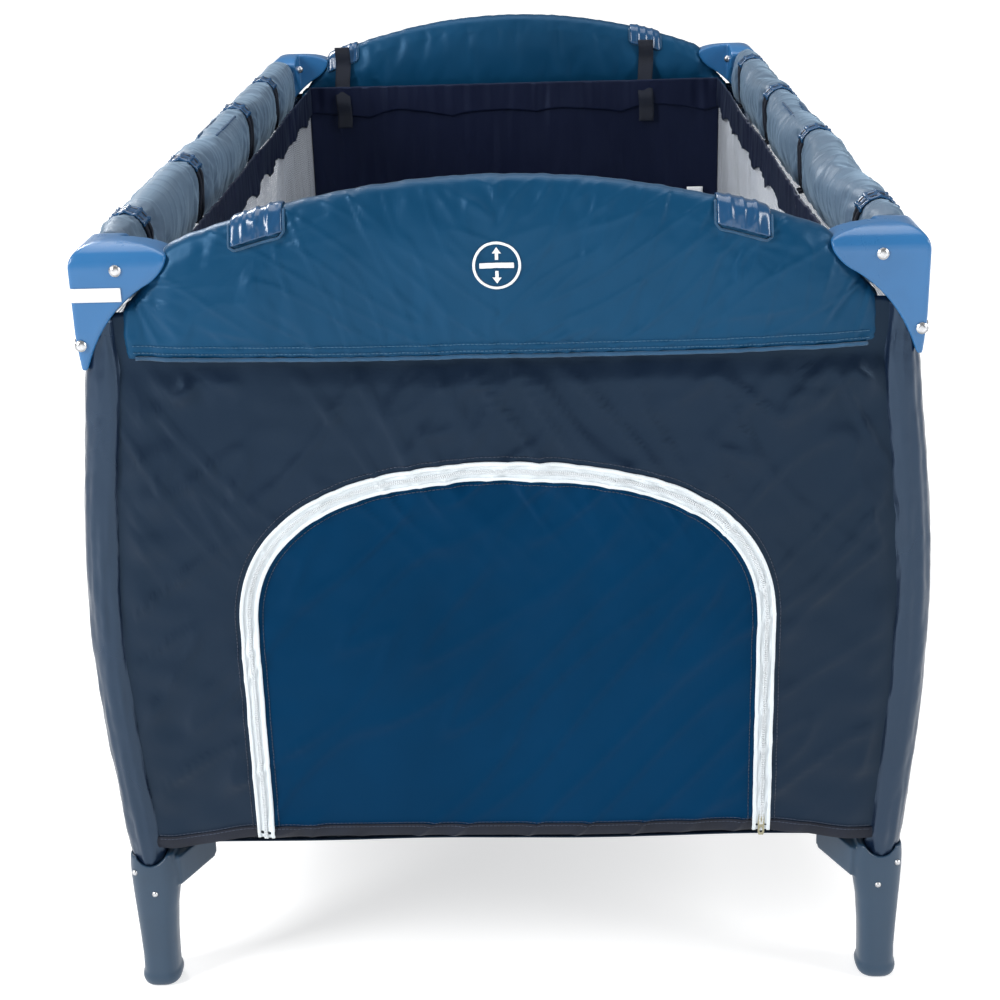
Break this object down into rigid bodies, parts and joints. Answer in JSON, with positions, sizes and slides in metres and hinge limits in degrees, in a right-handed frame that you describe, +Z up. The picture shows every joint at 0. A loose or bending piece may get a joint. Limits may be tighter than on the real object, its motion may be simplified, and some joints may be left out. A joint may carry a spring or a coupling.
{
  "type": "playpen",
  "caption": "Folding travel playpen with padded rails, a zipped door in the end panel, mesh sides, a hung insert and a folding mattress.",
  "frame": {"origin": "On the floor under the middle of the playpen.", "axes": "+Z up, +Y along the length towards the end without the door, +X across to the right as seen from the door end."},
  "size_m": [0.7324, 1.25, 0.76],
  "materials": {
    "frame_tube": "powder-coated grey steel tube",
    "casting": "satin blue moulded plastic",
    "foot": "dark blue moulded plastic",
    "housing": "black moulded plastic",
    "navy_fabric": "navy satin nylon",
    "blue_fabric": "petrol blue satin nylon",
    "door_fabric": "deep blue satin nylon",
    "mesh_fabric": "see-through knitted mesh",
    "zip_tape": "white woven zip tape with moulded teeth",
    "zip_metal": "antique brass",
    "insert_fabric": "dark navy nylon",
    "mattress_fabric": "quilted navy polyester",
    "webbing": "woven dark webbing"
  },
  "bodies": {
    "front_left_leg": {"leg_tube_front_left": "frame_tube", "leg_sleeve_front_left": "navy_fabric", "corner_casting_front_left": "casting", "foot_front_left": "foot", "front_panel": "navy_fabric", "front_door": "door_fabric", "zipper_tape": "zip_tape", "side_panel_left": "mesh_fabric", "floor_panel": "navy_fabric", "rail_cover_front": "blue_fabric", "rail_cover_left": "blue_fabric"},
    "front_left_arm": {"base_arm_front_left": "frame_tube"},
    "front_right_leg": {"leg_tube_front_right": "frame_tube", "leg_sleeve_front_right": "navy_fabric", "corner_casting_front_right": "casting", "foot_front_right": "foot", "side_panel_right": "mesh_fabric", "rail_cover_right": "blue_fabric"},
    "front_right_arm": {"base_arm_front_right": "frame_tube"},
    "rear_left_leg": {"leg_tube_rear_left": "frame_tube", "leg_sleeve_rear_left": "navy_fabric", "corner_casting_rear_left": "casting", "foot_rear_left": "foot", "rear_panel": "navy_fabric", "rail_cover_rear": "blue_fabric"},
    "rear_left_arm": {"base_arm_rear_left": "frame_tube"},
    "rear_right_leg": {"leg_tube_rear_right": "frame_tube", "leg_sleeve_rear_right": "navy_fabric", "corner_casting_rear_right": "casting", "foot_rear_right": "foot"},
    "rear_right_arm": {"base_arm_rear_right": "frame_tube"},
    "hub": {"base_hub": "housing", "pull_strap": "webbing"},
    "front_latch": {"latch_housing_front": "housing"},
    "front_button": {"latch_button_front": "casting"},
    "rear_latch": {"latch_housing_rear": "housing"},
    "rear_button": {"latch_button_rear": "casting"},
    "left_latch": {"latch_housing_left": "housing"},
    "left_button": {"latch_button_left": "casting"},
    "right_latch": {"latch_housing_right": "housing"},
    "right_button": {"latch_button_right": "casting"},
    "front_rail_left": {"rail_tube_front_left": "frame_tube"},
    "front_rail_right": {"rail_tube_front_right": "frame_tube"},
    "rear_rail_left": {"rail_tube_rear_left": "frame_tube"},
    "rear_rail_right": {"rail_tube_rear_right": "frame_tube"},
    "left_rail_front": {"rail_tube_left_front": "frame_tube"},
    "left_rail_rear": {"rail_tube_left_rear": "frame_tube"},
    "right_rail_front": {"rail_tube_right_front": "frame_tube"},
    "right_rail_rear": {"rail_tube_right_rear": "frame_tube"},
    "zip_slider": {"zipper_slider": "zip_metal"},
    "zip_pull": {"zipper_pull": "zip_metal"},
    "insert": {"insert": "insert_fabric"},
    "mattress_1": {"mattress_section_1": "mattress_fabric"},
    "mattress_2": {"mattress_section_2": "mattress_fabric"},
    "mattress_3": {"mattress_section_3": "mattress_fabric"},
    "mattress_4": {"mattress_section_4": "mattress_fabric"}
  },
  "joints": [
    {"name": "frame_fold", "type": "hinge", "parent": "front_left_leg", "child": "front_left_arm", "pos_m": [-0.308, -0.586, 0.12], "axis": [0.9004, -0.435, 0], "range_deg": [0, 84], "deforming": ["rail_cover_front", "rail_cover_rear", "rail_cover_left", "rail_cover_right", "front_panel", "front_door", "zipper_tape", "zipper_slider", "zipper_pull", "rear_panel", "side_panel_left", "side_panel_right", "floor_panel", "insert", "mattress_section_1", "mattress_section_2", "mattress_section_3", "mattress_section_4"]},
    {"name": "hub_turn", "type": "hinge", "parent": "front_left_arm", "child": "hub", "pos_m": [-0.05, -0.052, 0.12], "axis": [-0.9004, 0.435, 0], "range_deg": [0, 84]},
    {"name": "front_right_arm_fold", "type": "hinge", "parent": "hub", "child": "front_right_arm", "pos_m": [0.05, -0.052, 0.12], "axis": [0.9004, 0.435, 0], "range_deg": [0, 84]},
    {"name": "front_right_leg_fold", "type": "hinge", "parent": "front_right_arm", "child": "front_right_leg", "pos_m": [0.308, -0.586, 0.12], "axis": [-0.9004, -0.435, 0], "range_deg": [0, 84]},
    {"name": "rear_left_arm_fold", "type": "hinge", "parent": "hub", "child": "rear_left_arm", "pos_m": [-0.05, 0.052, 0.12], "axis": [-0.9004, -0.435, 0], "range_deg": [0, 84]},
    {"name": "rear_left_leg_fold", "type": "hinge", "parent": "rear_left_arm", "child": "rear_left_leg", "pos_m": [-0.308, 0.586, 0.12], "axis": [0.9004, 0.435, 0], "range_deg": [0, 84]},
    {"name": "rear_right_arm_fold", "type": "hinge", "parent": "hub", "child": "rear_right_arm", "pos_m": [0.05, 0.052, 0.12], "axis": [-0.9004, 0.435, 0], "range_deg": [0, 84]},
    {"name": "rear_right_leg_fold", "type": "hinge", "parent": "rear_right_arm", "child": "rear_right_leg", "pos_m": [0.308, 0.586, 0.12], "axis": [0.9004, -0.435, 0], "range_deg": [0, 84]},
    {"name": "front_rail_left_fold", "type": "hinge", "parent": "front_left_leg", "child": "front_rail_left", "pos_m": [-0.308, -0.606, 0.692], "axis": [0, 1, 0], "range_deg": [0, 84]},
    {"name": "front_latch_turn", "type": "hinge", "parent": "front_rail_left", "child": "front_latch", "pos_m": [-0.05, -0.606, 0.692], "axis": [0, -1, 0], "range_deg": [0, 84]},
    {"name": "front_rail_right_fold", "type": "hinge", "parent": "front_latch", "child": "front_rail_right", "pos_m": [0.05, -0.606, 0.692], "axis": [0, -1, 0], "range_deg": [0, 84]},
    {"name": "rear_rail_left_fold", "type": "hinge", "parent": "rear_left_leg", "child": "rear_rail_left", "pos_m": [-0.308, 0.606, 0.692], "axis": [0, 1, 0], "range_deg": [0, 84]},
    {"name": "rear_latch_turn", "type": "hinge", "parent": "rear_rail_left", "child": "rear_latch", "pos_m": [-0.05, 0.606, 0.692], "axis": [0, -1, 0], "range_deg": [0, 84]},
    {"name": "rear_rail_right_fold", "type": "hinge", "parent": "rear_latch", "child": "rear_rail_right", "pos_m": [0.05, 0.606, 0.692], "axis": [0, -1, 0], "range_deg": [0, 84]},
    {"name": "left_rail_front_fold", "type": "hinge", "parent": "front_left_leg", "child": "left_rail_front", "pos_m": [-0.328, -0.584, 0.692], "axis": [-1, 0, 0], "range_deg": [0, 84]},
    {"name": "left_latch_turn", "type": "hinge", "parent": "left_rail_front", "child": "left_latch", "pos_m": [-0.328, -0.05, 0.692], "axis": [1, 0, 0], "range_deg": [0, 84]},
    {"name": "left_rail_rear_fold", "type": "hinge", "parent": "left_latch", "child": "left_rail_rear", "pos_m": [-0.328, 0.05, 0.692], "axis": [1, 0, 0], "range_deg": [0, 84]},
    {"name": "right_rail_front_fold", "type": "hinge", "parent": "front_right_leg", "child": "right_rail_front", "pos_m": [0.328, -0.584, 0.692], "axis": [-1, 0, 0], "range_deg": [0, 84]},
    {"name": "right_latch_turn", "type": "hinge", "parent": "right_rail_front", "child": "right_latch", "pos_m": [0.328, -0.05, 0.692], "axis": [1, 0, 0], "range_deg": [0, 84]},
    {"name": "right_rail_rear_fold", "type": "hinge", "parent": "right_latch", "child": "right_rail_rear", "pos_m": [0.328, 0.05, 0.692], "axis": [1, 0, 0], "range_deg": [0, 84]},
    {"name": "front_button_press", "type": "slide", "parent": "front_latch", "child": "front_button", "axis": [0, 0, 1], "range_m": [0, 0.005], "stiffness_N_per_m": 600},
    {"name": "rear_button_press", "type": "slide", "parent": "rear_latch", "child": "rear_button", "axis": [0, 0, 1], "range_m": [0, 0.005], "stiffness_N_per_m": 600},
    {"name": "left_button_press", "type": "slide", "parent": "left_latch", "child": "left_button", "axis": [0, 0, 1], "range_m": [0, 0.005], "stiffness_N_per_m": 600},
    {"name": "right_button_press", "type": "slide", "parent": "right_latch", "child": "right_button", "axis": [0, 0, 1], "range_m": [0, 0.005], "stiffness_N_per_m": 600},
    {"name": "zip_slide", "type": "slide", "parent": "front_left_leg", "child": "zip_slider", "axis": [0, 0, 1], "range_m": [0, 0.19]},
    {"name": "zip_pull_swing", "type": "hinge", "parent": "zip_slider", "child": "zip_pull", "pos_m": [0.2245, -0.6246, 0.18], "axis": [-1, 0, 0], "range_deg": [0, 150]},
    {"name": "insert_lift", "type": "slide", "parent": "front_left_leg", "child": "insert", "axis": [0, 0, 1], "range_m": [0, 0.5]},
    {"name": "mattress_lift", "type": "slide", "parent": "insert", "child": "mattress_2", "axis": [0, 0, 1], "range_m": [0, 0.42]},
    {"name": "mattress_fold_1", "type": "hinge", "parent": "mattress_2", "child": "mattress_1", "pos_m": [0, -0.2851, 0.421], "axis": [-1, 0, 0], "range_deg": [0, 90]},
    {"name": "mattress_fold_3", "type": "hinge", "parent": "mattress_2", "child": "mattress_3", "pos_m": [0, 0, 0.421], "axis": [1, 0, 0], "range_deg": [0, 90]},
    {"name": "mattress_fold_4", "type": "hinge", "parent": "mattress_3", "child": "mattress_4", "pos_m": [0, 0.2851, 0.421], "axis": [1, 0, 0], "range_deg": [0, 90]}
  ],
  "couplings": [
    {"joint": "hub_turn", "follows": "frame_fold", "ratio": 1},
    {"joint": "front_right_arm_fold", "follows": "frame_fold", "ratio": 1},
    {"joint": "front_right_leg_fold", "follows": "frame_fold", "ratio": 1},
    {"joint": "rear_left_arm_fold", "follows": "frame_fold", "ratio": 1},
    {"joint": "rear_left_leg_fold", "follows": "frame_fold", "ratio": 1},
    {"joint": "rear_right_arm_fold", "follows": "frame_fold", "ratio": 1},
    {"joint": "rear_right_leg_fold", "follows": "frame_fold", "ratio": 1},
    {"joint": "front_rail_left_fold", "follows": "frame_fold", "ratio": 1},
    {"joint": "front_latch_turn", "follows": "frame_fold", "ratio": 1},
    {"joint": "front_rail_right_fold", "follows": "frame_fold", "ratio": 1},
    {"joint": "rear_rail_left_fold", "follows": "frame_fold", "ratio": 1},
    {"joint": "rear_latch_turn", "follows": "frame_fold", "ratio": 1},
    {"joint": "rear_rail_right_fold", "follows": "frame_fold", "ratio": 1},
    {"joint": "left_rail_front_fold", "follows": "frame_fold", "ratio": 1},
    {"joint": "left_latch_turn", "follows": "frame_fold", "ratio": 1},
    {"joint": "left_rail_rear_fold", "follows": "frame_fold", "ratio": 1},
    {"joint": "right_rail_front_fold", "follows": "frame_fold", "ratio": 1},
    {"joint": "right_latch_turn", "follows": "frame_fold", "ratio": 1},
    {"joint": "right_rail_rear_fold", "follows": "frame_fold", "ratio": 1},
    {"joint": "insert_lift", "follows": "frame_fold", "m_per_rad": 0.34105}
  ]
}
